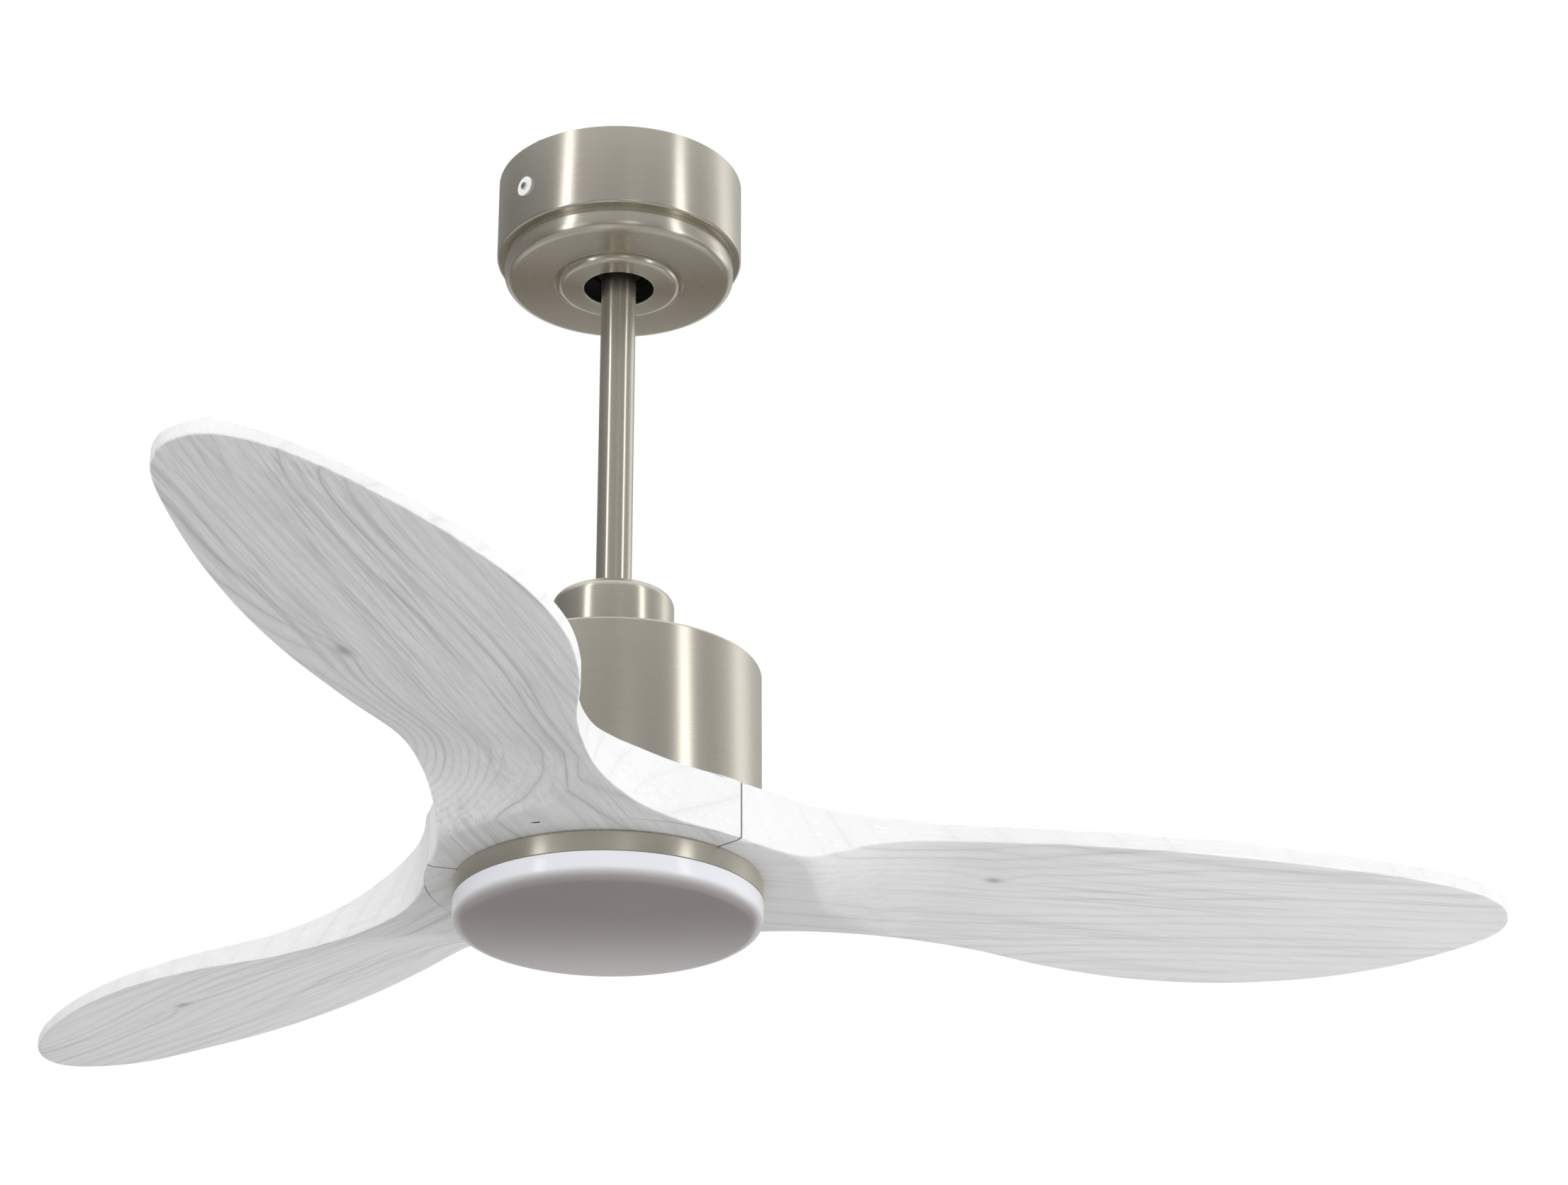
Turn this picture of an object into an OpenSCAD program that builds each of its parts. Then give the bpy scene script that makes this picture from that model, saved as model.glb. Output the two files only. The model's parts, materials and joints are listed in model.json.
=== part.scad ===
// Ceiling fan with three carved wooden blades, a downrod and a round light.
// The origin is on the fan's axis at the ceiling face, +Z points up, sizes are in millimetres.

/* [Ceiling canopy] */
// Outside radius of the canopy
canopy_r = 89.8; // [89:0.1:92]
// Gap between the ceiling and the canopy's rim
canopy_gap = 2; // [1:0.5:3]
// Height of the canopy's straight wall
canopy_h = 63; // [60:0.5:65]
// Sheet thickness of the canopy and its cover
canopy_t = 1.2; // [0.8:0.1:1.5]
// Outside radius of the stepped cover under the canopy
lip_r = 84; // [83:0.5:86]
// Depth of the stepped cover
lip_h = 18; // [16:0.5:20]
// Radius of the round boss at the cover's middle
boss_r = 44.5; // [42:0.5:48]
// Drop of the boss below the cover
boss_drop = 4; // [2:0.5:6]
// Radius of the hole that the downrod hangs through
rod_hole_r = 25.6; // [25:0.1:28]

/* [Ceiling bracket] */
// Direction of the bracket's strap and of the two canopy screws
strap_az = 40; // [0:1:180]
// Thickness of the bracket's plate
plate_t = 2.5; // [2:0.5:3]
// Radius of the round middle of the bracket
plate_r = 50; // [48:1:54]
// Width of the strap
strap_w = 24; // [20:1:26]
// Circle that the two ceiling holes lie on
ceiling_pcd = 120; // [110:1:130]
// Radius of a ceiling hole
ceiling_hole_r = 3; // [2.5:0.5:4]

/* [Hanger ball] */
// Radius of the hanger ball
ball_r = 32; // [31:0.5:33]
// Depth of the ball's centre below the ceiling
ball_depth = 50; // [49:0.5:52]
// Thickness of the seat ring under the ball
seat_t = 1.95; // [1.5:0.05:2.5]

/* [Downrod] */
// Outside radius of the downrod
rod_r = 12.7; // [12:0.1:13]
// Wall of the downrod
rod_wall = 1.8; // [1.2:0.1:2.5]
// Length of the downrod
rod_len = 344; // [300:1:500]

/* [Motor housing] */
// Outside radius of the motor housing
housing_r = 104.7; // [100:0.1:108]
// Height of the motor housing
housing_h = 110.2; // [110:0.1:112]
// Outside radius of the cover over the coupling
cup_r = 43; // [40:0.5:48]
// Height of the cover over the coupling
cup_h = 59.1; // [55:0.1:65]

/* [Blades] */
// Direction of the first blade
blade_az = 11.75; // [0:0.25:120]
// Thickness of the wooden hub
hub_t = 40.6; // [38:0.1:42]
// Radius of the hole through the wooden hub
hub_hole_r = 34; // [30:1:40]
// Extra thickness along the middle of a blade
crown = 3; // [0:0.5:4]

/* [Light] */
// Outside radius of the light's metal ring
ring_r = 106; // [104:0.5:108]
// Height of the light's metal ring
ring_h = 13.9; // [13.5:0.1:15]
// Depth of the diffuser below the ring
diffuser_h = 18.5; // [16:0.5:24]

/* [Hidden] */
$fn = 96;
tiny = 0.01;
run_gap = 0.05;

// Levels, measured up from the ceiling face, so they are negative
rim_z = -canopy_gap;
lip_z = rim_z - canopy_h;
cover_z = lip_z - lip_h;
boss_z = cover_z - boss_drop;
ball_z = -ball_depth;
screw_z = -35.5;
rod_top_z = ball_z + 22;
rod_end_z = rod_top_z - rod_len;
housing_z = rod_end_z - 24.8;
housing_end_z = housing_z - housing_h;
cup_z = housing_z + 0.3 + cup_h;
hub_z = housing_end_z - 3;
hub_end_z = hub_z - hub_t;
ring_z = hub_end_z - 0.8;
ring_end_z = ring_z - ring_h;
diffuser_z = ring_end_z - 0.2;
glow_z = ring_end_z - diffuser_h;

// Ball and seat
seat_r = ball_r + run_gap + seat_t;
cradle_r = 42;
cradle_top_z = ball_z - 7;
cradle_end_z = ball_z - 21;
ball_cross_z = ball_z + 12;
ear_r = canopy_r - canopy_t - 1.6;
ear_drop = 42;
rivet_r = 2;

// Motor
shaft_r = 10;
shaft_bore_r = 6;
race_r = 21;
bearing_w = 12;
bearing_ball_r = 3.2;
bearing_pitch_r = 15.5;
upper_bearing_z = housing_z - 39.2;
lower_bearing_z = housing_end_z + 7;
can_r = 78.2;
can_top_z = upper_bearing_z - 1;
can_t = 3;
magnet_t = 4.2;
plate_top_z = hub_z + 5.6;
flange_r = 90;
stator_r = 70;
stator_z = upper_bearing_z - 40;
stator_h = 28;
teeth = 18;
tooth_w = 7;
poles = 20;
board_z = housing_z - 23.2;
board_t = 1.6;
shaft_end_z = ring_z - 9.6;
pin_z = rod_end_z + 12;
pin_r = 2.5;

// Blade joints
blade_bolt_r = 48;
blade_bolt_step = 38;
clamp_r = 60;
clamp_t = 3;
seam_lead = -57.8;
seam_trail = 62.2;
seam_gap = 0.1;

// Leading edge of a blade from the hub seam to the tip, in the blade's own frame with X along the blade.
// Each row is x, y, height of the underside above the hub's underside, and thickness.
lead_edge = [[67.1, -106.3, 0, hub_t], [95, -91, 0, hub_t], [120, -80, 2, 37], [146, -73, 11, 27.5],
    [178, -68.5, 21.5, 18], [225, -67, 27.5, 12], [290, -77, 27.5, 11], [360, -85, 27, 11],
    [430, -87, 26.5, 11], [500, -83, 26.5, 11], [565, -74, 27, 10.5], [614, -62, 26, 10],
    [643, -45, 24.5, 9], [656, -27, 22.5, 8]];
// Trailing edge, with a row for each row of the leading edge
trail_edge = [[58.7, 111.1, 0, hub_t], [84, 94, 0, hub_t], [110, 78, 0, 40.2], [140, 66, 0, 38.5],
    [175, 60, 0, 33], [220, 60, 0, 25], [280, 71, 0, 17.5], [345, 94, 0, 13],
    [410, 106, 0, 10.5], [480, 102, 0.8, 9.2], [545, 84, 3.5, 8.2], [597, 59, 8.5, 7.3],
    [634, 32, 14.5, 6.9], [653, 10, 18, 6.8]];
blade_tip = [659.9, -9, 20.5, 7];
// Share of the chord, from the trailing edge, that is still the hub's flat underside at each station
flat_share = [[0, 1], [1.3, 1], [2, 0.66], [3, 0.38], [4, 0.2], [5, 0], [14, 0]];
tip_row = len(lead_edge);
outline = concat(lead_edge, [blade_tip], [for (i = [tip_row - 1 : -1 : 0]) trail_edge[i]]);
chord_steps = 10;
row_steps = 3;

// ---------- shared helpers ----------

// Points along an arc about [x, y], from angle a to angle b
function arc(x, y, r, a, b, n = 8) = [for (i = [0 : n]) let (t = a + (b - a) * i / n)
    [x + r * cos(t), y + r * sin(t)]];

function mix(a, b, t) = a + (b - a) * t;

// Smooth curve through a list of rows, at the real-valued row number u
function curve(rows, u) = let (
        last = len(rows) - 1,
        i = min(last - 1, floor(u)),
        t = u - i,
        b = rows[i],
        c = rows[i + 1],
        a = i > 0 ? rows[i - 1] : 2 * b - c,
        d = i < last - 1 ? rows[i + 2] : 2 * c - b)
    b + (c - a) * t / 2 + (a - 2.5 * b + 2 * c - d / 2) * t * t
        + (1.5 * b - 1.5 * c + (d - a) / 2) * t * t * t;

module ring(r, inner, z, h) {
    translate([0, 0, z]) difference() {
        cylinder(r = r, h = h);
        translate([0, 0, -1]) cylinder(r = inner, h = h + 2);
    }
}

module rod_x(r, x, length, z) {
    translate([x, 0, z]) rotate([0, 90, 0]) cylinder(r = r, h = length);
}

module rod_y(r, y, length, z) {
    translate([0, y, z]) rotate([-90, 0, 0]) cylinder(r = r, h = length);
}

module at_ball() {
    translate([0, 0, ball_z]) children();
}

module along_strap() {
    rotate([0, 0, strap_az]) children();
}

module both_ends() {
    along_strap() for (turn = [0, 180]) rotate([0, 0, turn]) children();
}

module around(count, r, start = 0) {
    for (i = [0 : count - 1]) rotate([0, 0, start + i * 360 / count]) translate([r, 0, 0]) children();
}

// ---------- ceiling mount ----------

module ceiling_bracket() {
    color("silver") difference() {
        union() {
            translate([0, 0, -plate_t]) cylinder(r = plate_r, h = plate_t);
            along_strap() translate([-ear_r, -strap_w / 2, -plate_t]) cube([2 * ear_r, strap_w, plate_t]);
        }
        both_ends() {
            translate([ceiling_pcd / 2, 0, -plate_t - 1]) cylinder(r = ceiling_hole_r, h = plate_t + 2);
            at_cradle_rivets() translate([0, 0, -plate_t - 1]) cylinder(r = rivet_r + 0.05, h = plate_t + 2);
        }
        along_strap() translate([0, 34, -plate_t - 1]) cylinder(r = 9, h = plate_t + 2);
    }
}

// Upright tabs welded under the strap's ends, with the holes of the canopy screws
module bracket_tabs() {
    color("silver") both_ends() difference() {
        translate([ear_r - plate_t, -strap_w / 2, -ear_drop])
            cube([plate_t, strap_w, ear_drop - plate_t - tiny]);
        rod_x(2.1, ear_r - plate_t - 1, plate_t + 2, screw_z);
    }
}

// Children at the two rivets of one foot of the cradle
module at_cradle_rivets() {
    for (y = [-9, 9]) translate([cradle_r + 4, y, 0]) children();
}

module ball_cradle() {
    foot = 8;
    color("silver") difference() {
        union() {
            both_ends() {
                translate([cradle_r - plate_t, -14, cradle_end_z + 4])
                    cube([plate_t, 28, -cradle_end_z - 4 - plate_t - tiny]);
                translate([cradle_r - plate_t, -14, -2 * plate_t - tiny]) cube([plate_t + foot, 28, plate_t]);
            }
            translate([0, 0, cradle_end_z]) cylinder(r = cradle_r, h = cradle_top_z - cradle_end_z);
        }
        at_ball() sphere(r = seat_r + run_gap);
        along_strap() translate([-14, 0, cradle_end_z - 1]) cube([28, cradle_r + 1, 17]);
        both_ends() at_cradle_rivets()
            translate([0, 0, -2 * plate_t - 1]) cylinder(r = rivet_r + 0.05, h = plate_t + 2);
    }
}

module cradle_rivets() {
    color("gray") both_ends() at_cradle_rivets() {
        translate([0, 0, -2 * plate_t - 0.1]) cylinder(r = rivet_r, h = 2 * plate_t);
        translate([0, 0, -2 * plate_t - 1.6]) cylinder(r1 = 2.2, r2 = 3.2, h = 1.5);
    }
}

module canopy_shell() {
    edge = 2;
    color("darkgray") difference() {
        rotate_extrude() polygon(concat(
            [[canopy_r - canopy_t, rim_z], [canopy_r, rim_z]],
            arc(canopy_r - edge, lip_z + edge, edge, 0, -90),
            [[lip_r - 4, lip_z], [lip_r - 4, lip_z + canopy_t], [canopy_r - canopy_t, lip_z + canopy_t]]));
        both_ends() rod_x(2.6, canopy_r - 5, 10, screw_z);
    }
}

module canopy_cover() {
    neck = 1.6;
    edge = 4;
    inner = boss_r + 0.3;
    color("darkgray") rotate_extrude() polygon(concat(
        [[lip_r - neck - canopy_t, lip_z - tiny], [lip_r - neck, lip_z - tiny]],
        arc(lip_r, lip_z - 2.4, neck, 180, 270),
        arc(lip_r - edge, cover_z + edge, edge, 0, -90),
        [[inner + 3.5, cover_z]],
        arc(inner + 2, cover_z + 1.4, 0.8, -60, -150, 4),
        [[inner, cover_z + canopy_t + 0.6], [inner + 6, cover_z + canopy_t]],
        arc(lip_r - edge, cover_z + edge, edge - canopy_t, -90, 0)));
}

module canopy_trim_ring() {
    edge = 4.5;
    seat = cover_z + canopy_t + 0.6;
    color("darkgray") rotate_extrude() polygon(concat(
        [[rod_hole_r, boss_z + 1]], arc(rod_hole_r + 1, boss_z + 1, 1, 180, 270, 4),
        arc(boss_r - edge, boss_z + edge, edge, -90, 0),
        [[boss_r, seat], [boss_r + 5, seat], [boss_r + 5, seat + 1.4], [boss_r - 2, seat + 1.4],
         [boss_r - 2, boss_z + edge + 1], [boss_r - edge, boss_z + 2], [rod_hole_r, boss_z + 2]]));
}

module canopy_screws() {
    head = canopy_r + 1.3;
    color("gray") both_ends() difference() {
        union() {
            rod_x(2, ear_r - 6, head - ear_r + 6, screw_z);
            rod_x(2.6, head, 1.2, screw_z);
        }
        translate([head + 0.3, 0, screw_z]) rotate([0, 90, 0]) cylinder(r = 1.2, h = 3, $fn = 6);
    }
}

module canopy_washers() {
    color("white") both_ends() difference() {
        rod_x(7.4, canopy_r + 0.05, 1.25, screw_z);
        rod_x(2.2, canopy_r - 1, 4, screw_z);
    }
}

module receiver_box() {
    wide = 72;
    deep = 46;
    tall = 18;
    color("dimgray") along_strap() translate([-wide / 2, -28, -plate_t - tall]) union() {
        cube([wide, deep, tall - tiny]);
        for (x = [8, 22, 36]) translate([x, deep / 2 - 4, 6]) cube([8, deep / 2 + 8, 5]);
    }
}

module terminal_block() {
    pitch = 7;
    color("ivory") along_strap() translate([-36, 28, -plate_t - 12]) difference() {
        cube([3 * pitch, 13, 12 - tiny]);
        for (i = [0 : 2]) translate([pitch * (i + 0.5), 0, 0]) {
            for (y = [3.5, 9.5]) translate([0, y, -1]) cylinder(r = 1.6, h = 5);
            translate([0, -1, 7]) rotate([-90, 0, 0]) cylinder(r = 1.8, h = 15);
        }
    }
}

// ---------- hanger ball and downrod ----------

module ball_seat_ring() {
    top = cradle_top_z - 0.5;
    low = cradle_end_z + 1;
    color("whitesmoke") intersection() {
        difference() {
            at_ball() sphere(r = seat_r);
            at_ball() sphere(r = ball_r + run_gap);
        }
        translate([0, 0, low]) cylinder(r = seat_r + 2, h = top - low);
    }
}

module hanger_ball() {
    low = 24;
    high = 18;
    color("black") difference() {
        intersection() {
            at_ball() sphere(r = ball_r);
            translate([0, 0, ball_z - low]) cylinder(r = ball_r + 1, h = low + high);
        }
        translate([0, 0, ball_z - low - 1]) cylinder(r = rod_r + 0.1, h = low + high + 2);
        ring(19.5, 16.5, ball_z - low - 1, 4);
        rod_x(pin_r + 0.1, -ball_r - 1, 2 * ball_r + 2, ball_cross_z);
        rod_y(2.05, rod_r - 1, ball_r, ball_z - 6);
    }
}

module ball_cross_pin() {
    color("silver") rod_x(pin_r, -27, 54, ball_cross_z);
}

module downrod() {
    color("darkgray") difference() {
        ring(rod_r, rod_r - rod_wall, rod_end_z, rod_len);
        rod_x(pin_r + 0.1, -rod_r - 1, 2 * rod_r + 2, ball_cross_z);
        rod_x(pin_r + 0.1, -rod_r - 1, 2 * rod_r + 2, pin_z);
    }
}

module rod_set_screws() {
    color("dimgray") {
        difference() {
            rod_y(2, rod_r + 0.02, 13, ball_z - 6);
            translate([0, rod_r + 11, ball_z - 6]) rotate([-90, 0, 0]) cylinder(r = 1.1, h = 3, $fn = 6);
        }
        difference() {
            rod_y(2, rod_r + 0.02, 7, rod_end_z + 18);
            translate([0, rod_r + 5, rod_end_z + 18]) rotate([-90, 0, 0]) cylinder(r = 1.1, h = 3, $fn = 6);
        }
    }
}

module lead_wires() {
    end = shaft_end_z + 2;
    color("firebrick") for (place = [[-1.4, 3.9], [1.4, 3.9], [0, -3.9]])
        translate([place.x, place.y, end]) cylinder(r = 1.2, h = rod_top_z - 1 - end);
}

module motor_coupling() {
    base = housing_z + 0.05;
    flange = 4.3;
    color("gray") difference() {
        union() {
            translate([0, 0, base]) cylinder(r = 34, h = flange);
            translate([0, 0, base]) cylinder(r = 19, h = rod_end_z + 24 - base);
        }
        translate([0, 0, base - 1]) cylinder(r = shaft_r + 0.05, h = rod_end_z - base + 2);
        translate([0, 0, rod_end_z - tiny]) cylinder(r = rod_r + run_gap, h = 30);
        rod_x(pin_r + 0.05, -20, 40, pin_z);
        rod_y(2.05, 10, 12, rod_end_z + 18);
        around(3, 28, 30) translate([0, 0, base - 1]) cylinder(r = 2.2, h = flange + 2);
    }
}

module clevis_pin() {
    color("silver") difference() {
        union() {
            rod_x(pin_r, -26, 46, pin_z);
            rod_x(4.2, 20, 2.5, pin_z);
        }
        translate([-23, 0, 0]) rod_y(0.9, -5, 10, pin_z);
    }
}

module hairpin_clip() {
    wire = 0.8;
    bow = 2.6;
    color("silver") translate([-23, 0, pin_z]) {
        rotate([-90, 0, 0]) translate([0, 0, -8]) cylinder(r = wire, h = 15);
        translate([-2 * bow, 0, 0]) rotate([-90, 0, 0]) translate([0, 0, -6]) cylinder(r = wire, h = 13);
        translate([-bow, 7, 0]) rotate_extrude(angle = 180) translate([bow, 0]) circle(r = wire, $fn = 24);
    }
}

module coupling_screws() {
    top = housing_z + 4.4;
    color("silver") around(3, 28, 30) {
        translate([0, 0, top - 12]) cylinder(r = 2, h = 12);
        difference() {
            translate([0, 0, top]) cylinder(r = 4, h = 2.6);
            translate([0, 0, top + 1.2]) cylinder(r = 1.7, h = 3, $fn = 6);
        }
    }
}

module coupling_cover() {
    t = 1.4;
    edge = 8;
    foot = cup_z - cup_h;
    color("darkgray") rotate_extrude() polygon(concat(
        [[rod_r + 0.4, cup_z - t], [rod_r + 0.4, cup_z]],
        arc(cup_r - edge, cup_z - edge, edge, 90, 0),
        [[cup_r, foot], [cup_r - t, foot]],
        arc(cup_r - edge, cup_z - edge, edge - t, 0, 90)));
}

module cover_grommet() {
    color("black") rotate_extrude() polygon([[rod_r + 0.06, cup_z - 4.5], [rod_r + 0.06, cup_z - 1.42],
        [rod_r + 5, cup_z - 1.42], [rod_r + 5, cup_z - 3], [rod_r + 2, cup_z - 4.5]]);
}

// ---------- motor ----------

module housing_shell() {
    t = 1.5;
    edge = 2.5;
    color("darkgray") difference() {
        rotate_extrude() polygon(concat(
            [[shaft_r + 0.3, housing_z - t], [shaft_r + 0.3, housing_z]],
            arc(housing_r - edge, housing_z - edge, edge, 90, 0),
            [[housing_r, housing_end_z], [housing_r - t, housing_end_z]],
            arc(housing_r - edge, housing_z - edge, edge - t, 0, 90, 4)));
        around(3, 28, 30) translate([0, 0, housing_z - 3]) cylinder(r = 2.05, h = 5);
    }
}

module controller_board() {
    color("darkgreen") ring(92, 14, board_z, board_t);
}

module controller_parts() {
    color("dimgray") translate([0, 0, board_z + board_t + tiny]) {
        for (a = [15, 31, 47]) rotate([0, 0, a]) translate([60, 0, 0]) cylinder(r = 6, h = 15);
        rotate([0, 0, 205]) translate([42, -12, 0]) cube([26, 24, 16]);
        for (a = [280 : 12 : 340]) rotate([0, 0, a]) translate([70, -5, 0]) cube([4.5, 10, 15]);
        rotate([0, 0, 140]) translate([48, -9, 0]) cube([9, 18, 9]);
        rotate([0, 0, 100]) translate([40, -7, 0]) cube([14, 14, 2.5]);
    }
}

module board_standoffs() {
    low = board_z + board_t + tiny;
    color("silver") around(3, 80, 60) translate([0, 0, low]) cylinder(r = 3, h = housing_z - 1.52 - low);
}

module motor_shaft() {
    color("silver") difference() {
        ring(shaft_r, shaft_bore_r, shaft_end_z, rod_end_z - 4 - shaft_end_z);
        rod_y(3, 0, shaft_r + 1, board_z + 8);
    }
}

module stator_core() {
    color("slategray") translate([0, 0, stator_z]) difference() {
        linear_extrude(stator_h) {
            circle(r = 32);
            around(teeth, 0) translate([30, -tooth_w / 2]) square([38, tooth_w]);
            difference() {
                circle(r = stator_r);
                circle(r = stator_r - 3.5);
                around(teeth, 0, 180 / teeth) translate([60, -1.3]) square([12, 2.6]);
            }
        }
        translate([0, 0, -1]) cylinder(r = shaft_r + 0.02, h = stator_h + 2);
    }
}

module stator_windings() {
    side = 1.9;
    color("peru") around(teeth, 36) difference() {
        translate([0, -tooth_w / 2 - side, stator_z - 3.5]) cube([27, tooth_w + 2 * side, stator_h + 7]);
        translate([-1, -tooth_w / 2 - 0.05, stator_z - 0.1]) cube([29, tooth_w + 0.1, stator_h + 0.2]);
    }
}

module race_groove(z) {
    translate([0, 0, z + bearing_w / 2]) rotate_extrude() translate([bearing_pitch_r, 0])
        circle(r = bearing_ball_r + 0.08, $fn = 32);
}

module bearing_inner_rings() {
    color("silver") for (z = [upper_bearing_z, lower_bearing_z]) difference() {
        ring(13.4, shaft_r + 0.01, z, bearing_w);
        race_groove(z);
    }
}

module bearing_outer_rings() {
    color("silver") for (z = [upper_bearing_z, lower_bearing_z]) difference() {
        ring(race_r, 17.6, z, bearing_w);
        race_groove(z);
    }
}

module bearing_balls() {
    color("gainsboro") for (z = [upper_bearing_z, lower_bearing_z])
        around(9, bearing_pitch_r) translate([0, 0, z + bearing_w / 2]) sphere(r = bearing_ball_r, $fn = 32);
}

module rotor_can() {
    color("gray") rotate_extrude() polygon([[can_r - can_t, plate_top_z + tiny], [can_r, plate_top_z + tiny],
        [can_r, can_top_z - can_t], [can_r - 3, can_top_z], [race_r + 4, can_top_z],
        [race_r + 4, can_top_z + bearing_w + 1], [race_r + 0.02, can_top_z + bearing_w + 1],
        [race_r + 0.02, can_top_z + 0.9], [race_r - 2, can_top_z + 0.9], [race_r - 2, can_top_z - can_t],
        [can_r - can_t, can_top_z - can_t]]);
}

module rotor_magnets() {
    outer = can_r - can_t;
    span = 360 / poles - 2;
    color("dimgray") around(poles, 0) translate([0, 0, stator_z - 3]) rotate_extrude(angle = span)
        translate([outer - magnet_t, 0]) square([magnet_t - tiny, stator_h + 6]);
}

// Children at each blade screw
module at_blade_bolts() {
    middle = (seam_lead + seam_trail) / 2;
    for (i = [0 : 2]) for (k = [-1 : 1])
        rotate([0, 0, blade_az + 120 * i + middle + blade_bolt_step * k])
            translate([blade_bolt_r, 0, 0]) children();
}

module blade_plate() {
    color("silver") difference() {
        union() {
            translate([0, 0, hub_z]) cylinder(r = flange_r, h = plate_top_z - hub_z);
            translate([0, 0, hub_z]) cylinder(r = race_r + 5, h = lower_bearing_z + bearing_w + 2 - hub_z);
        }
        translate([0, 0, hub_z - 1]) cylinder(r = 18, h = 40);
        translate([0, 0, lower_bearing_z - tiny]) cylinder(r = race_r + 0.02, h = 40);
        at_blade_bolts() translate([0, 0, hub_z - 1]) cylinder(r = 3.05, h = 9);
    }
}

// ---------- blades ----------

// Point of a blade at station u and chord share s, which is 0 at the trailing edge; level 0 is the
// underside and level 1 the top. A section follows an arc about the shaft, so the hub fills its sector.
function blade_point(u, s, level) = let (
        lead = curve(outline, u),
        trail = curve(outline, 2 * tip_row - u),
        r = mix(norm([trail.x, trail.y]), norm([lead.x, lead.y]), s),
        a = mix(atan2(trail.y, trail.x), atan2(lead.y, lead.x), s),
        flat = lookup(u, flat_share),
        rise = s > flat ? pow((s - flat) / (1 - flat), mix(0.85, 1.05, min(1, u / 5))) : 0,
        under = trail[2] + (lead[2] - trail[2]) * rise,
        bulge = crown * min(1, max(0, u - 2) / 4) * 4 * s * (1 - s),
        top = mix(trail[2] + trail[3], lead[2] + lead[3], s) + bulge)
    [r * cos(a), r * sin(a), level == 0 ? under : top];

function section(u) = concat(
    [for (k = [0 : chord_steps]) blade_point(u, k / chord_steps, 0)],
    [for (k = [chord_steps : -1 : 0]) blade_point(u, k / chord_steps, 1)]);

// A loop of points about the shaft at radius r, with the underside raised by depth
function hub_section(r, depth) = let (trim = asin(seam_gap / r)) concat(
    [for (k = [0 : chord_steps]) let (a = mix(seam_trail - trim, seam_lead + trim, k / chord_steps))
        [r * cos(a), r * sin(a), depth]],
    [for (k = [chord_steps : -1 : 0]) let (a = mix(seam_trail - trim, seam_lead + trim, k / chord_steps))
        [r * cos(a), r * sin(a), hub_t]]);

module blade(azimuth) {
    rows = row_steps * tip_row;
    loop = 2 * chord_steps + 2;
    recess_r = clamp_r + 0.8;
    loops = concat([hub_section(hub_hole_r, clamp_t + 0.1), hub_section(recess_r, clamp_t + 0.1),
        hub_section(recess_r + tiny, 0)], [for (i = [0 : rows - 1]) section(i / row_steps)],
        [section(tip_row - 0.12)]);
    last = len(loops) - 1;
    points = [for (l = loops) each l];
    walls = [for (i = [0 : last - 1]) for (j = [0 : loop - 1]) let (
            a = i * loop + j,
            b = i * loop + (j + 1) % loop)
        each [[a, b, b + loop], [a, b + loop, a + loop]]];
    inner_end = [for (k = [0 : chord_steps - 1]) let (t = loop - 1 - k)
        each [[k, t, t - 1], [k, t - 1, k + 1]]];
    tip_end = [for (k = [0 : chord_steps - 1]) let (a = last * loop + k, t = last * loop + loop - 1 - k)
        each [[a, t - 1, t], [a, a + 1, t - 1]]];
    difference() {
        rotate([0, 0, azimuth]) translate([0, 0, hub_end_z])
            polyhedron(points = points, faces = concat(walls, inner_end, tip_end));
        at_blade_bolts() translate([0, 0, hub_end_z - 1]) cylinder(r = 3.2, h = hub_t + 2);
    }
}

module blade_a() {
    color("whitesmoke") blade(blade_az);
}

module blade_b() {
    color("whitesmoke") blade(blade_az + 120);
}

module blade_c() {
    color("whitesmoke") blade(blade_az + 240);
}

module blade_clamp_plate() {
    color("gray") difference() {
        ring(clamp_r, 20, hub_end_z, clamp_t);
        at_blade_bolts() {
            translate([0, 0, hub_end_z - 1]) cylinder(r = 3.1, h = clamp_t + 2);
            translate([0, 0, hub_end_z - tiny]) cylinder(r1 = 5.6, r2 = 3.1, h = 2.5);
        }
    }
}

module blade_screws() {
    head = 2.4;
    color("silver") at_blade_bolts() difference() {
        union() {
            translate([0, 0, hub_end_z + 0.05]) cylinder(r1 = 5.4, r2 = 3, h = head);
            translate([0, 0, hub_end_z + head]) cylinder(r = 3, h = plate_top_z - hub_end_z - head);
        }
        translate([0, 0, hub_end_z - 1]) cylinder(r = 2, h = 2.6, $fn = 6);
    }
}

// ---------- light ----------

module light_mount_plate() {
    top = ring_z - 1.22;
    t = 2;
    color("silver") difference() {
        ring(96, shaft_r + 0.05, top - t, t);
        around(3, 88, 30) translate([0, 0, top - t - 1]) cylinder(r = 2.2, h = t + 2);
    }
}

module light_standoffs() {
    low = ring_end_z + 2.5;
    color("silver") around(3, 72, 90) translate([0, 0, low]) cylinder(r = 3.5, h = ring_z - 3.23 - low);
}

module shaft_nut() {
    high = ring_z - 3.24;
    color("silver") difference() {
        translate([0, 0, high - 5]) cylinder(r = 16, h = 5, $fn = 6);
        translate([0, 0, high - 6]) cylinder(r = shaft_r + 0.02, h = 7);
    }
}

module light_ring() {
    t = 1.4;
    hook_span = 24;
    color("darkgray") {
        rotate_extrude() polygon(concat(
            [[58, ring_z - 1.2], [58, ring_z]],
            arc(ring_r - 1.5, ring_z - 1.5, 1.5, 90, 0, 4),
            [[ring_r, ring_end_z + 0.6], [ring_r - 0.6, ring_end_z], [ring_r - t, ring_end_z],
             [ring_r - t, ring_z - 1.2]]));
        around(3, 0) rotate([0, 0, -hook_span / 2]) translate([0, 0, ring_end_z])
            rotate_extrude(angle = hook_span) translate([ring_r - t - 2, 0]) square([2 + tiny, 2]);
    }
}

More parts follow.
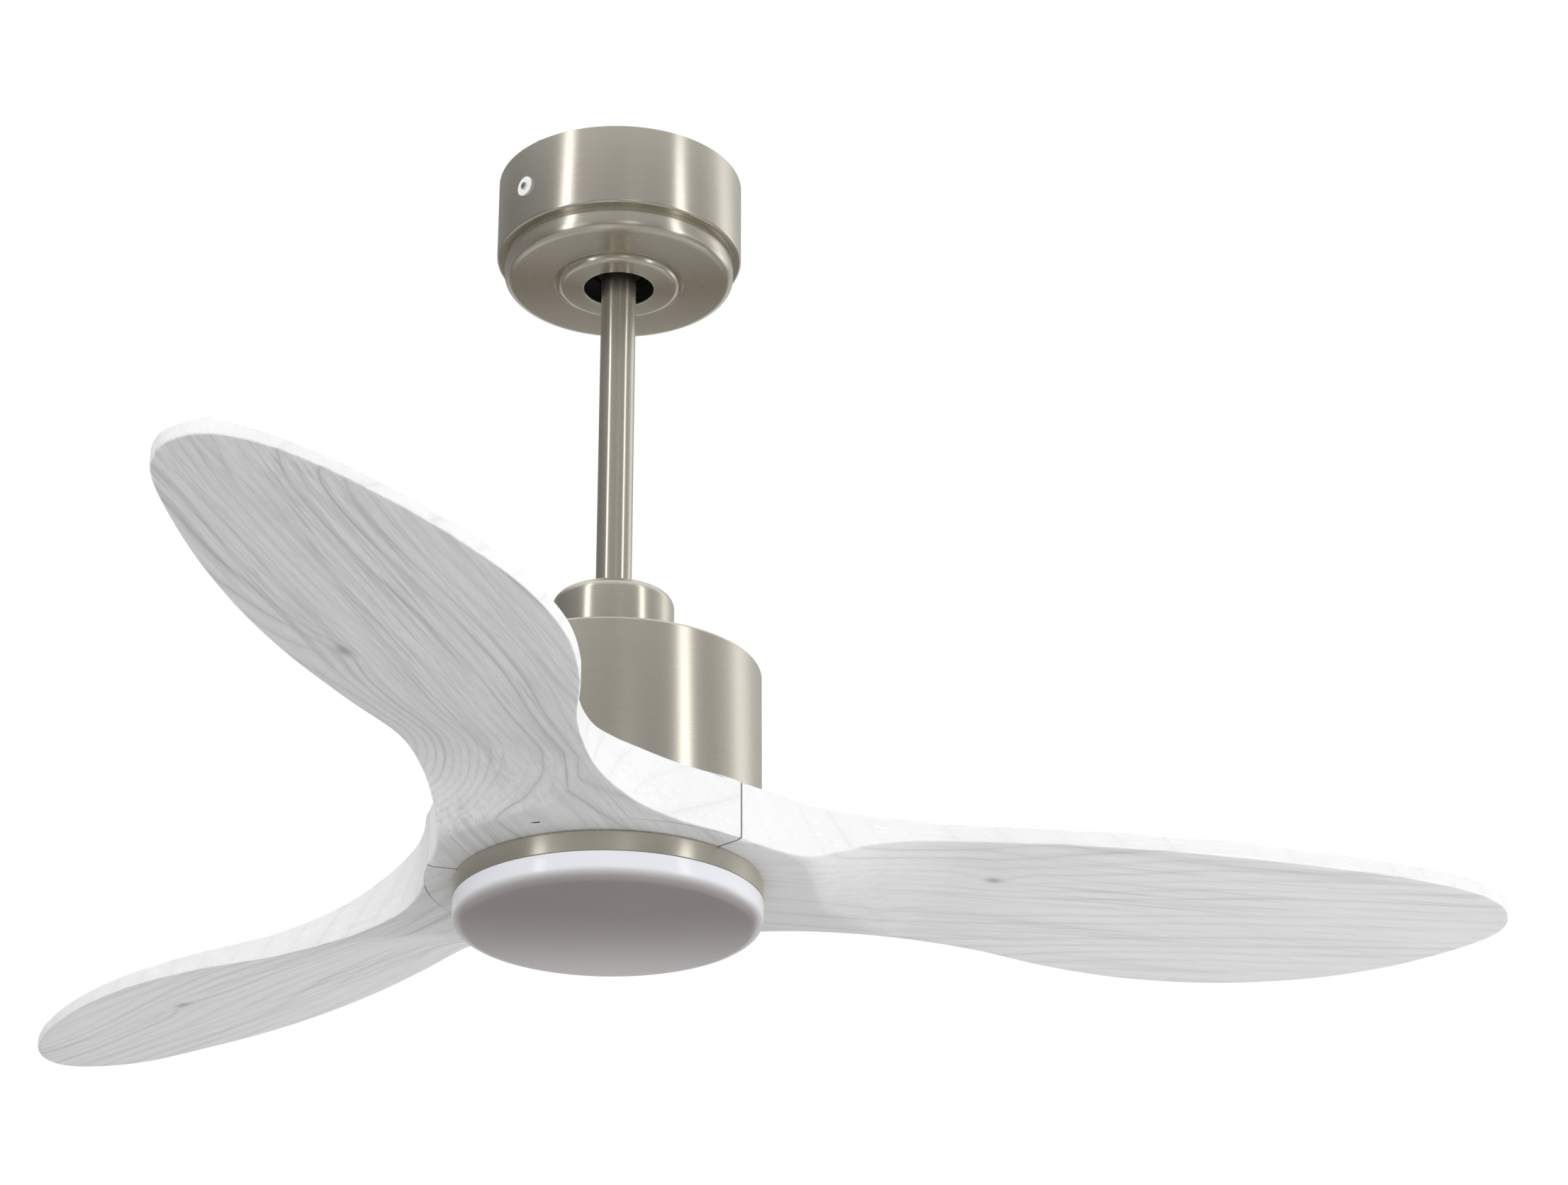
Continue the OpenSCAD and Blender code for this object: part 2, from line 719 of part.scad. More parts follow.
module ring_screws() {
    low = ring_z - 3.24;
    color("silver") around(3, 88, 30) difference() {
        union() {
            translate([0, 0, low - 2]) cylinder(r = 3.6, h = 2);
            translate([0, 0, low - tiny]) cylinder(r = 2, h = 2);
        }
        translate([0, 0, low - 3]) cylinder(r = 1.3, h = 2, $fn = 6);
    }
}

module led_driver() {
    color("white") translate([-30, 34, ring_z - 10.4]) cube([60, 22, 7.1]);
}

module led_board() {
    color("white") translate([0, 0, ring_end_z + 0.9]) cylinder(r = 90, h = 1.6 - tiny);
}

module led_chips() {
    color("gold") for (row = [[8, 28], [15, 52], [22, 76]])
        around(row[0], row[1]) translate([-1.5, -1.5, ring_end_z + 0.1]) cube([3, 3, 0.8]);
}

module diffuser() {
    t = 2.2;
    edge = 9;
    lug_span = 14;
    spigot = ring_r - 4.2;
    lug_z = ring_end_z + 2.3;
    color("white") {
        rotate_extrude() polygon(concat(
            [[spigot - t, lug_z + 1.6], [spigot, lug_z + 1.6], [spigot, diffuser_z],
             [ring_r - 0.4, diffuser_z], [ring_r, diffuser_z - 0.4]],
            arc(ring_r - edge, glow_z + edge, edge, 0, -90),
            [[0, glow_z - 0.6], [0, glow_z + t - 0.6]],
            arc(ring_r - edge, glow_z + edge, edge - t, -90, 0),
            [[ring_r - t, diffuser_z - t], [spigot - t, diffuser_z - t]]));
        around(3, 0) rotate([0, 0, -lug_span / 2]) translate([0, 0, lug_z]) rotate_extrude(angle = lug_span)
            translate([spigot - tiny, 0]) square([2.4, 1.6]);
    }
}

ceiling_bracket();
bracket_tabs();
ball_cradle();
cradle_rivets();
canopy_shell();
canopy_cover();
canopy_trim_ring();
canopy_screws();
canopy_washers();
receiver_box();
terminal_block();
ball_seat_ring();
hanger_ball();
ball_cross_pin();
downrod();
rod_set_screws();
lead_wires();
motor_coupling();
clevis_pin();
hairpin_clip();
coupling_screws();
coupling_cover();
cover_grommet();
housing_shell();
controller_board();
controller_parts();
board_standoffs();
motor_shaft();
stator_core();
stator_windings();
bearing_inner_rings();
bearing_balls();
bearing_outer_rings();
rotor_can();
rotor_magnets();
blade_plate();
blade_a();
blade_b();
blade_c();
blade_clamp_plate();
blade_screws();
light_mount_plate();
light_standoffs();
shaft_nut();
light_ring();
ring_screws();
led_driver();
led_board();
led_chips();
diffuser();
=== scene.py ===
"""Looks for the ceiling fan with light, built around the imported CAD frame.

Metres, +Z up, origin at the ceiling. Outlines are written in millimetres.
"""
import json
import math

import bmesh
import bpy
import numpy as np
from mathutils import Matrix, Vector


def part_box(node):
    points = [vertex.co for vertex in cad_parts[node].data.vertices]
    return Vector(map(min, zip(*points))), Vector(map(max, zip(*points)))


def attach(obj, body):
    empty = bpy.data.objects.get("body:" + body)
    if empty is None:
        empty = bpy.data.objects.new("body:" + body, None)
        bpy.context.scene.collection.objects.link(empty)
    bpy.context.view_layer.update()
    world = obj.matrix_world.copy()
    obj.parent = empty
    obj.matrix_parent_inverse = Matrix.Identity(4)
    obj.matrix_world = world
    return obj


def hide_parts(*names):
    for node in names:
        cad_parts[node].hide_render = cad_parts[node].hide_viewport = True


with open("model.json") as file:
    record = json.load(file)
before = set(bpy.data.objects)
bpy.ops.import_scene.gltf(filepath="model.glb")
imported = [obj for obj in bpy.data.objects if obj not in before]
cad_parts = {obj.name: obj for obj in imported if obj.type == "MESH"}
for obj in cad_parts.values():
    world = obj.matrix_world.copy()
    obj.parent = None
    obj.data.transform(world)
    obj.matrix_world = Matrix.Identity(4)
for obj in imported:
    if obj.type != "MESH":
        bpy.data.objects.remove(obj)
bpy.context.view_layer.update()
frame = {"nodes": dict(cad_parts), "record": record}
MM = 0.001
SEGMENTS = 224
ROD_SEGMENTS = 96


# ---------- node helpers ----------

class Nodes:
    """A material's or world's node tree, with short calls to add and join nodes."""

    def __init__(self, tree):
        self.tree = tree
        tree.nodes.clear()

    def add(self, kind, settings=None, **inputs):
        node = self.tree.nodes.new(kind)
        for name, value in (settings or {}).items():
            setattr(node, name, value)
        for name, value in inputs.items():
            self.feed(node, name.replace("_", " "), value)
        return node

    def feed(self, node, name, value):
        socket = node.inputs[int(name)] if name.isdigit() else node.inputs[name]
        if isinstance(value, bpy.types.NodeSocket):
            self.tree.links.new(value, socket)
        else:
            socket.default_value = value

    def math(self, operation, a, b=0.0, c=0.0):
        node = self.add("ShaderNodeMath", {"operation": operation})
        for i, value in enumerate((a, b, c)):
            self.feed(node, str(i), value)
        return node.outputs[0]

    def noise(self, vector, scale, detail=3.0, rough=0.55):
        node = self.add("ShaderNodeTexNoise", Vector=vector, Scale=scale, Detail=detail, Roughness=rough)
        return node.outputs["Fac"]

    def ramp(self, value, stops):
        node = self.add("ShaderNodeValToRGB", Fac=value)
        elements = node.color_ramp.elements
        while len(elements) < len(stops):
            elements.new(0.5)
        for element, (place, colour) in zip(elements, stops):
            element.position = place
            element.color = colour if isinstance(colour, tuple) else (colour, colour, colour, 1)
        return node.outputs["Color"]

    def mix(self, factor, a, b, blend="MIX"):
        node = self.add("ShaderNodeMix", {"data_type": "RGBA", "blend_type": blend})
        self.feed(node, "0", factor)
        self.feed(node, "6", a)
        self.feed(node, "7", b)
        return node.outputs[2]

    def combine(self, x, y, z):
        node = self.add("ShaderNodeCombineXYZ", X=x, Y=y, Z=z)
        return node.outputs[0]

    def place(self, azimuth=0.0):
        """Object coordinates, turned so that x lies along the azimuth."""
        coord = self.add("ShaderNodeTexCoord").outputs["Object"]
        if azimuth:
            coord = self.add("ShaderNodeVectorRotate", {"rotation_type": "Z_AXIS"}, Vector=coord,
                             Angle=-azimuth).outputs[0]
        return coord

    def parts(self, vector):
        """The x, y and z of a vector."""
        return self.add("ShaderNodeSeparateXYZ", Vector=vector).outputs

    def product(self, first, *others):
        """All the values multiplied together."""
        for other in others:
            first = self.math("MULTIPLY", first, other)
        return first

    def length(self, x, y):
        """The distance from the z axis."""
        return self.math("SQRT", self.math("ADD", self.product(x, x), self.product(y, y)))

    def between(self, value, low, high):
        """0 at low and below, 1 at high and above."""
        return self.add("ShaderNodeMapRange", Value=value, From_Min=low, From_Max=high).outputs[0]

    def bump(self, height, strength, distance):
        node = self.add("ShaderNodeBump", Height=height, Strength=strength, Distance=distance)
        return node.outputs[0]

    def surface(self, **sockets):
        shader = self.add("ShaderNodeBsdfPrincipled", **sockets)
        self.add("ShaderNodeOutputMaterial", Surface=shader.outputs[0])


def material(name):
    made = bpy.data.materials.new(name)
    made.use_nodes = True
    return made, Nodes(made.node_tree)


def shade(value, warm=0.0):
    """A grey, warmer than neutral by the share warm."""
    return (value * (1 + warm), value, value * (1 - warm), 1)


# ---------- materials ----------

SHEETS_PER_METRE = 2000.0
WIRES_PER_METRE = 1150.0


def nickel_tone(value):
    """Nickel's grey, a little yellow."""
    return (value * 1.055, value, value * 0.86, 1)


def brushed_nickel(name, roughness, lines, level=1.0, drawn=0.75, shaded_inside=None):
    """Satin nickel turned on a lathe: fine rings about the axis, drawn-out highlights and faint blotches.

    A shaded_inside (radius, height) paints it black nearer the axis than that radius and above that height:
    painted shade inside the canopy.
    """
    made, n = material(name)
    coord = n.place()
    x, y, z = n.parts(coord)
    radius = n.length(x, y)
    angle = n.math("ARCTAN2", y, x)

    def rings(per_metre, per_radian, detail):
        return n.noise(n.combine(n.product(radius, per_metre), n.product(angle, per_radian),
                                 n.product(z, per_metre)), 1.0, detail)

    fine = rings(2600, 3, 2.0)
    broad = rings(420, 0.9, 3.0)
    cloud = n.noise(coord, 14.0, 2.0)
    tone = n.mix(broad, nickel_tone(0.555 * level), nickel_tone(0.605 * level))
    tone = n.mix(n.product(cloud, 0.35), tone, nickel_tone(0.57 * level))
    if shaded_inside:
        shaded_radius, shaded_height = shaded_inside
        # Painted shade: black where the canopy's inside lies in shade
        inside = n.product(n.math("LESS_THAN", radius, shaded_radius), n.math("GREATER_THAN", z, shaded_height))
        tone = n.mix(inside, tone, shade(0.018))
    rough = n.math("ADD", n.product(fine, 0.08 * lines), roughness - 0.04 * lines)
    tangent = n.add("ShaderNodeTangent", {"direction_type": "RADIAL", "axis": "Z"}).outputs[0]
    relief = n.math("ADD", fine, n.product(broad, 0.4))
    n.surface(Base_Color=tone, Metallic=1.0, Roughness=rough, Anisotropic=drawn, Anisotropic_Rotation=0.25,
              Tangent=tangent, Normal=n.bump(relief, 0.014 * lines, 0.0002))
    return made


# Each profile is (distance from the middle of a growth line in layers, strength)
FACE_LINE = [(0.0, 1.0), (0.05, 0.70), (0.13, 0.28), (0.32, 0.10), (0.5, 0.0)]
WALL_LINE = [(0.0, 0.40), (0.04, 0.16), (0.16, 0.06), (0.5, 0.0)]
# How strong each growth line is, by its own random number
LINE_STRENGTH = [(0.0, 0.18), (0.40, 0.45), (0.80, 0.75), (1.0, 1.0)]
STEEP_FACING = [(0.25, 1.0), (0.62, 0.0)]
# From ROOT_END to BLADE_START the wood turns from the darker root tone, painted shade near the hub, to the
# blade's tone
ROOT_END, BLADE_START = 0.16, 0.36
SHADED_ROOT_TONES = 0.82, 0.88
WALL_TONES = 0.74, 0.80
WALL_CALM = 0.75
KNOT_LENGTH = 0.6
HEART_SHARE = 16.0
GLUE_PER_METRE = 400.0


def washed_wood(name, azimuth, seed, across, depth, wavy, knot, contrast, lit_tone):
    """Whitewashed wood carved out of growth layers that lie almost level and rise gently across the blade, so
    the scooped root cuts them into loops and the blade shows long lines.

    There are across layers per metre of width and depth layers per metre of height, and wavy sets how far
    they wander. Each layer has its own strength. The steep walls show few, faint lines, and the glued seams
    are dark. The grain has the given contrast over the lit tone, which is set per blade as painted light and
    shade; nearer the hub the tone is darker, painted shade. The knot is (x, y, spread, lift).
    """
    made, n = material(name)
    coord = n.place(azimuth)
    x, y, z = n.parts(coord)
    facing = n.parts(n.add("ShaderNodeTexCoord").outputs["Normal"])[2]
    steep = n.ramp(n.math("ABSOLUTE", facing), STEEP_FACING)

    def drawn(along, width, height, shift, detail, rough=0.5):
        """Noise drawn out along the blade, in cells per metre each way."""
        return n.noise(n.combine(n.math("MULTIPLY_ADD", x, along, seed + shift), n.product(y, width),
                                 n.product(z, height)), 1.0, detail, rough)

    def lines(level, profile, shift):
        """Growth lines where the level is whole, each as strong as its own random number says."""
        whole = n.math("ROUND", level)
        off = n.math("ABSOLUTE", n.math("SUBTRACT", level, whole))
        number = n.math("ADD", whole, shift)
        own = n.add("ShaderNodeTexWhiteNoise", {"noise_dimensions": "1D"}, W=number).outputs[0]
        return n.product(n.ramp(off, profile), n.ramp(own, LINE_STRENGTH))

    slow = drawn(1.7, 6.0, 6.0, 0.0, 1.0, 0.4)
    uneven = drawn(1.2, 20.0, 12.0, 2.0, 1.0, 0.4)
    ripple = drawn(6.0, 55.0, 30.0, 7.0, 2.0)
    layer = n.math("SUBTRACT", n.product(z, depth), n.product(y, across))
    for part, layers in ((x, -9.0), (uneven, 2.6), (slow, wavy), (ripple, 0.30)):
        layer = n.math("MULTIPLY_ADD", part, layers, layer)
    knot_x, knot_y, spread, lift = knot
    dx = n.product(n.math("SUBTRACT", x, knot_x), KNOT_LENGTH)
    dy = n.math("SUBTRACT", y, knot_y)
    away = n.math("ADD", n.product(dx, dx), n.product(dy, dy))
    dome = n.math("EXPONENT", n.product(away, -1.0 / (spread * spread)))
    heart = n.math("EXPONENT", n.product(away, -HEART_SHARE / (spread * spread)))
    layer = n.math("MULTIPLY_ADD", dome, lift, layer)
    face = n.math("ADD", n.product(x, 34.0), n.product(z, 26.0))
    face = n.math("MULTIPLY_ADD", slow, 4.0, n.math("MULTIPLY_ADD", y, 18.0, face))
    patch = n.ramp(drawn(4.0, 26.0, 0.0, 1.0, 3.0), [(0.34, 0.25), (0.50, 0.60), (0.68, 1.0)])
    line = n.product(lines(layer, FACE_LINE, seed), patch)
    line = n.mix(steep, line, lines(face, WALL_LINE, seed + 40))

    bundle = n.ramp(drawn(2.4, 22.0, 22.0, 11.0, 2.0), [(0.43, 0.16), (0.60, 1.0)])
    calm = n.math("MULTIPLY_ADD", steep, -WALL_CALM * contrast, contrast)
    fibre = drawn(18.0, 800.0, 800.0, 0.0, 3.0, 0.6)
    streak = n.ramp(drawn(5.0, 210.0, 210.0, 0.0, 4.0, 0.6), [(0.44, 0.0), (0.70, 1.0)])
    dash = n.ramp(drawn(9.0, 420.0, 420.0, 3.0, 2.0), [(0.60, 0.0), (0.73, 1.0)])
    pale = n.ramp(drawn(12.0, 560.0, 560.0, 5.0, 2.0), [(0.60, 0.0), (0.74, 1.0)])
    pores = n.ramp(drawn(70.0, 1500.0, 1500.0, 0.0, 1.0), [(0.62, 0.0), (0.72, 1.0)])
    strands = n.ramp(fibre, [(0.4, 0.0), (0.8, 1.0)])

    cloud = n.noise(coord, 7.0, 3.0)

    def clouded(tones):
        low, high = tones
        return n.mix(cloud, shade(low, -0.004), shade(high, -0.006))

    # Painted shade: darker near the hub
    outer = n.between(x, ROOT_END, BLADE_START)
    # The lit tone differs by blade: painted light and shade
    tone = n.mix(outer, clouded(SHADED_ROOT_TONES), clouded((lit_tone - 0.03, lit_tone + 0.03)))
    tone = n.mix(steep, tone, clouded(WALL_TONES))
    marks = [(n.product(line, contrast), shade(0.44, 0.004)),
             (n.product(streak, bundle, n.product(calm, 0.72)), shade(0.52)),
             (n.product(dash, bundle, n.product(calm, 0.55)), shade(0.36)),
             (n.product(strands, n.product(calm, 0.34)), shade(0.54)),
             (n.product(pores, n.product(calm, 0.26)), shade(0.42, 0.01)),
             (n.product(pale, 0.30), shade(0.96)),
             (n.product(heart, 0.6), shade(0.24, 0.02))]
    radius = n.length(x, y)
    turn = n.math("ARCTAN2", y, x)
    for seam in (SEAM_LEAD, SEAM_TRAIL):
        gap = n.math("ABSOLUTE", n.product(radius, n.math("SINE", n.math("SUBTRACT", turn, seam))))
        glue = n.ramp(n.product(gap, GLUE_PER_METRE), [(0.24, 1.0), (0.34, 0.0)])
        marks.append((n.product(glue, 0.85), shade(0.14, 0.02)))
    for share, mark in marks:
        tone = n.mix(share, tone, mark)
    height = n.math("SUBTRACT", n.product(fibre, 0.6), n.product(line, 0.25))
    height = n.math("SUBTRACT", height, n.product(pores, 0.8))
    n.surface(Base_Color=tone, Roughness=n.math("MULTIPLY_ADD", fibre, 0.12, 0.50),
              Normal=n.bump(height, 0.20, 0.0003), Specular_IOR_Level=0.30)
    return made


def opal_acrylic(name, low, high, edge):
    """Moulded opal acrylic, milky at its thick wall. Between heights low and high the bowl is painted darker,
    painted shade where it is unlit, and painted light lightens the bowl towards the radius edge."""
    made, n = material(name)
    coord = n.place()
    x, y, z = n.parts(coord)
    cloud = n.noise(coord, 9.0, 2.0)
    # The bowl's darker tone is painted shade; the wall's milky tone is its own colour
    shaded_bowl = n.mix(cloud, (0.285, 0.262, 0.256, 1), (0.315, 0.290, 0.284, 1))
    wall = n.mix(cloud, (0.67, 0.682, 0.72, 1), (0.70, 0.712, 0.75, 1))
    share = n.between(z, low, high)
    rise = n.ramp(share, [(0.0, 0.0), (0.12, 0.02), (0.42, 0.34), (0.80, 0.92), (1.0, 1.0)])
    # Painted light: the bowl lightens near its edge
    near_edge = n.between(n.length(x, y), edge * 0.80, edge * 0.96)
    lift = n.product(n.math("POWER", near_edge, 2.0), 0.05)
    tone = n.mix(n.math("MAXIMUM", rise, lift), shaded_bowl, wall)
    n.surface(Base_Color=tone, Roughness=n.math("MULTIPLY_ADD", cloud, 0.05, 0.14),
              Normal=n.bump(n.noise(coord, 900.0, 2.0), 0.03, 0.0001), Specular_IOR_Level=0.45,
              Coat_Weight=0.3, Coat_Roughness=0.04, Subsurface_Weight=0.08, Subsurface_Scale=0.004)
    return made


def plated(name, light, dark, metallic, roughness, grain, depth=0.12, along=1.0, gloss=0.5):
    """A metal or plastic skin: two tones in a fine grain, with roughness and bump from the same grain. Along
    below 1 draws the grain out upwards."""
    made, n = material(name)
    coord = n.place()
    x, y, z = n.parts(coord)
    fine = n.noise(n.combine(x, y, n.product(z, along)), grain, 4.0)
    broad = n.noise(coord, grain * 0.08, 2.0)
    tone = n.mix(n.ramp(fine, [(0.35, 0.0), (0.7, 1.0)]), light, dark)
    tone = n.mix(n.product(broad, 0.3), tone, dark)
    rough = n.math("MULTIPLY_ADD", fine, 0.16, roughness - 0.08)
    n.surface(Base_Color=tone, Metallic=metallic, Roughness=rough, Normal=n.bump(fine, depth, 0.0003),
              Specular_IOR_Level=gloss)
    return made


def laminated(name):
    """Stacked sheet steel: thin dark lines between the laminations."""
    made, n = material(name)
    coord = n.place()
    sheet = n.math("FRACT", n.product(n.parts(coord)[2], SHEETS_PER_METRE))
    line = n.ramp(sheet, [(0.0, 0.0), (0.78, 0.0), (0.9, 1.0)])
    tone = n.mix(line, shade(0.33, 0.01), shade(0.12, 0.02))
    tone = n.mix(n.product(n.noise(coord, 60.0), 0.4), tone, (0.25, 0.16, 0.10, 1))
    n.surface(Base_Color=tone, Metallic=0.85, Roughness=n.math("MULTIPLY_ADD", line, 0.3, 0.38),
              Normal=n.bump(line, -0.3, 0.0002))
    return made


def wound(name):
    """Enamelled copper wire laid side by side in a coil."""
    made, n = material(name)
    coord = n.place()
    x, y = n.parts(coord)[:2]
    turn = n.math("FRACT", n.product(n.length(x, y), WIRES_PER_METRE))
    crown = n.math("SINE", n.product(turn, math.pi))
    # Painted highlight on each wire's crown and painted shade in the grooves between turns
    tone = n.mix(crown, (0.20, 0.07, 0.03, 1), (0.66, 0.29, 0.13, 1))
    tone = n.mix(n.product(n.noise(coord, 120.0), 0.4), tone, (0.50, 0.22, 0.08, 1))
    n.surface(Base_Color=tone, Metallic=0.8, Roughness=n.math("MULTIPLY_ADD", crown, -0.15, 0.38),
              Normal=n.bump(crown, 0.6, 0.0004), Coat_Weight=0.4, Coat_Roughness=0.15)
    return made


def circuit(name):
    """Green solder mask with faint copper tracks."""
    made, n = material(name)
    coord = n.place()
    track = n.add("ShaderNodeTexBrick", Vector=coord, Scale=260.0, Mortar_Size=0.035).outputs["Fac"]
    tone = n.mix(n.product(track, 0.7), (0.012, 0.105, 0.040, 1), (0.05, 0.20, 0.06, 1))
    tone = n.mix(n.product(n.noise(coord, 80.0), 0.4), tone, (0.010, 0.07, 0.03, 1))
    n.surface(Base_Color=tone, Roughness=n.math("MULTIPLY_ADD", track, 0.1, 0.3),
              Normal=n.bump(track, 0.3, 0.0002))
    return made


# ---------- shapes ----------

def rounded(corners, steps=7):
    """A closed outline from corners (radius, height, fillet), with an arc at each fillet. Millimetres."""
    path = []
    count = len(corners)
    for i, (r, z, fillet) in enumerate(corners):
        here = Vector((r, z))
        if fillet <= 0:
            path.append(here)
            continue
        back = (Vector(corners[i - 1][:2]) - here).normalized()
        ahead = (Vector(corners[(i + 1) % count][:2]) - here).normalized()
        half = back.angle(ahead) / 2
        reach = fillet / math.tan(half)
        centre = here + (back + ahead).normalized() * (fillet / math.sin(half))
        first, last = here + back * reach - centre, here + ahead * reach - centre
        turn = first.angle_signed(last)
        path += [centre + Matrix.Rotation(-turn * k / steps, 2) @ first for k in range(steps + 1)]
    return path


def smoothed(piece, sharp=32):
    """Smooth shading, except over edges that turn by more than sharp degrees."""
    mesh = piece.data
    mesh.shade_smooth()
    mesh.set_sharp_from_angle(angle=math.radians(sharp))
    return piece


def new_piece(name, vertices, faces):
    """An object from vertices in metres and faces, which are turned to point outwards."""
    mesh = bpy.data.meshes.new(name)
    mesh.from_pydata(vertices, [], faces)
    work = bmesh.new()
    work.from_mesh(mesh)
    bmesh.ops.remove_doubles(work, verts=work.verts, dist=1e-7)
    bmesh.ops.recalc_face_normals(work, faces=work.faces)
    work.to_mesh(mesh)
    work.free()
    piece = bpy.data.objects.new(name, mesh)
    bpy.context.scene.collection.objects.link(piece)
    return piece


def lathe(name, corners, segments=SEGMENTS):
    """A solid of revolution about the fan's axis from an outline in millimetres."""
    outline = rounded(corners)
    turns = [math.tau * k / segments for k in range(segments)]
    vertices = [(p.x * MM * math.cos(t), p.x * MM * math.sin(t), p.y * MM) for t in turns for p in outline]
    size = len(outline)
    faces = []
    for k in range(segments):
        a, b = k * size, (k + 1) % segments * size
        for j in range(size):
            q = (j + 1) % size
            corner = [a + j, a + q, b + q, b + j]
            if outline[j].x < 1e-6:
                corner.remove(b + j)
            if outline[q].x < 1e-6:
                corner.remove(b + q)
            if len(corner) > 2:
                faces.append(corner)
    return smoothed(new_piece(name, vertices, faces))


def dress(piece, body, slot, look, *nodes):
    """Gives a piece its material, and says what it rides on and which nodes it stands for."""
    piece.data.materials.clear()
    piece.data.materials.append(look)
    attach(piece, body)
    if nodes:
        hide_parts(*nodes)
    return piece


# ---------- blades ----------

# The blades' sizes and rows repeat those of part.scad, in millimetres
BLADE_AZ = math.radians(11.75)
HUB_T = 40.6
HUB_HOLE_R = 34.0
HUB_ROWS_END = 122
RECESS_R = 60.8
RECESS_DEPTH = 3.1
SEAM_LEAD = math.radians(-57.8)
SEAM_TRAIL = math.radians(62.2)
CROWN = 3.0
# The seam's gap and the rounded edges are finer than in part.scad
SEAM_GAP = 0.35
EDGE_ROUND = 1.3
SEAM_ROUND = 0.6
EDGE_STEPS = 7
ACROSS = 34
PER_ROW = 12
RIM_STEPS = 14
TIP_CLOSE = 0.02
# Each row is x, y, height of the underside above the hub's underside, and thickness
LEAD_EDGE = [(67.1, -106.3, 0, HUB_T), (95, -91, 0, HUB_T), (120, -80, 2, 37), (146, -73, 11, 27.5),
             (178, -68.5, 21.5, 18), (225, -67, 27.5, 12), (290, -77, 27.5, 11), (360, -85, 27, 11),
             (430, -87, 26.5, 11), (500, -83, 26.5, 11), (565, -74, 27, 10.5), (614, -62, 26, 10),
             (643, -45, 24.5, 9), (656, -27, 22.5, 8)]
TRAIL_EDGE = [(58.7, 111.1, 0, HUB_T), (84, 94, 0, HUB_T), (110, 78, 0, 40.2), (140, 66, 0, 38.5),
              (175, 60, 0, 33), (220, 60, 0, 25), (280, 71, 0, 17.5), (345, 94, 0, 13),
              (410, 106, 0, 10.5), (480, 102, 0.8, 9.2), (545, 84, 3.5, 8.2), (597, 59, 8.5, 7.3),
              (634, 32, 14.5, 6.9), (653, 10, 18, 6.8)]
BLADE_TIP = (659.9, -9, 20.5, 7)
# Stations, and the share of the chord there that is still the hub's flat underside
FLAT_SHARE = (0, 1.3, 2, 3, 4, 5, 14), (1, 1, 0.66, 0.38, 0.2, 0, 0)
OUTLINE = np.array(LEAD_EDGE + [BLADE_TIP] + TRAIL_EDGE[::-1], float)
TIP_ROW = len(LEAD_EDGE)
# For each blade: layers per metre across and in depth, how far they wander, one knot (x, y, spread, lift) in
# metres and layers, the grain's contrast and the lit tone, painted lighter on a and darker on c: painted
# light and shade
GRAIN = {
    "a": (56, 150, 8, (0.268, -0.024, 0.013, 0.9), 0.58, 0.96),
    "b": (56, 150, 8, (0.44, 0.035, 0.018, 1.2), 0.80, 0.92),
    "c": (30, 430, 6, (0.375, -0.045, 0.020, 1.4), 1.0, 0.87),
}
FIRST_SEED, SEED_STEP = 3.1, 5.7


def curve(rows, u):
    """Smooth curve through the rows at row number u."""
    last = len(rows) - 1
    i = min(last - 1, int(u))
    t = u - i
    b, c = rows[i], rows[i + 1]
    a = rows[i - 1] if i > 0 else 2 * b - c
    d = rows[i + 2] if i < last - 1 else 2 * c - b
    return (b + (c - a) * t / 2 + (a - 2.5 * b + 2 * c - d / 2) * t ** 2
            + (1.5 * b - 1.5 * c + (d - a) / 2) * t ** 3)


def shares(length, edge):
    """Chord shares from 0 to 1, crowded over the rounded edge at each end of a chord of this length."""
    edge = min(edge, 0.3 * length)
    corner = edge * (1 - np.cos(np.linspace(0, math.pi / 2, EDGE_STEPS)))
    middle = np.linspace(edge, length - edge, ACROSS + 1)[1:-1]
    return np.concatenate([corner, middle, length - corner[::-1]]) / length


def hub_rows():
    """Sections over the hub's sector, as (radius, recess depth)."""
    yield HUB_HOLE_R, RECESS_DEPTH
    yield RECESS_R, RECESS_DEPTH
    yield RECESS_R + 0.01, 0.0
    for r in np.linspace(RECESS_R + 4, HUB_ROWS_END, 14):
        yield r, 0.0


def arc_points(r, a):
    return np.stack([r * np.cos(a), r * np.sin(a)], 1)


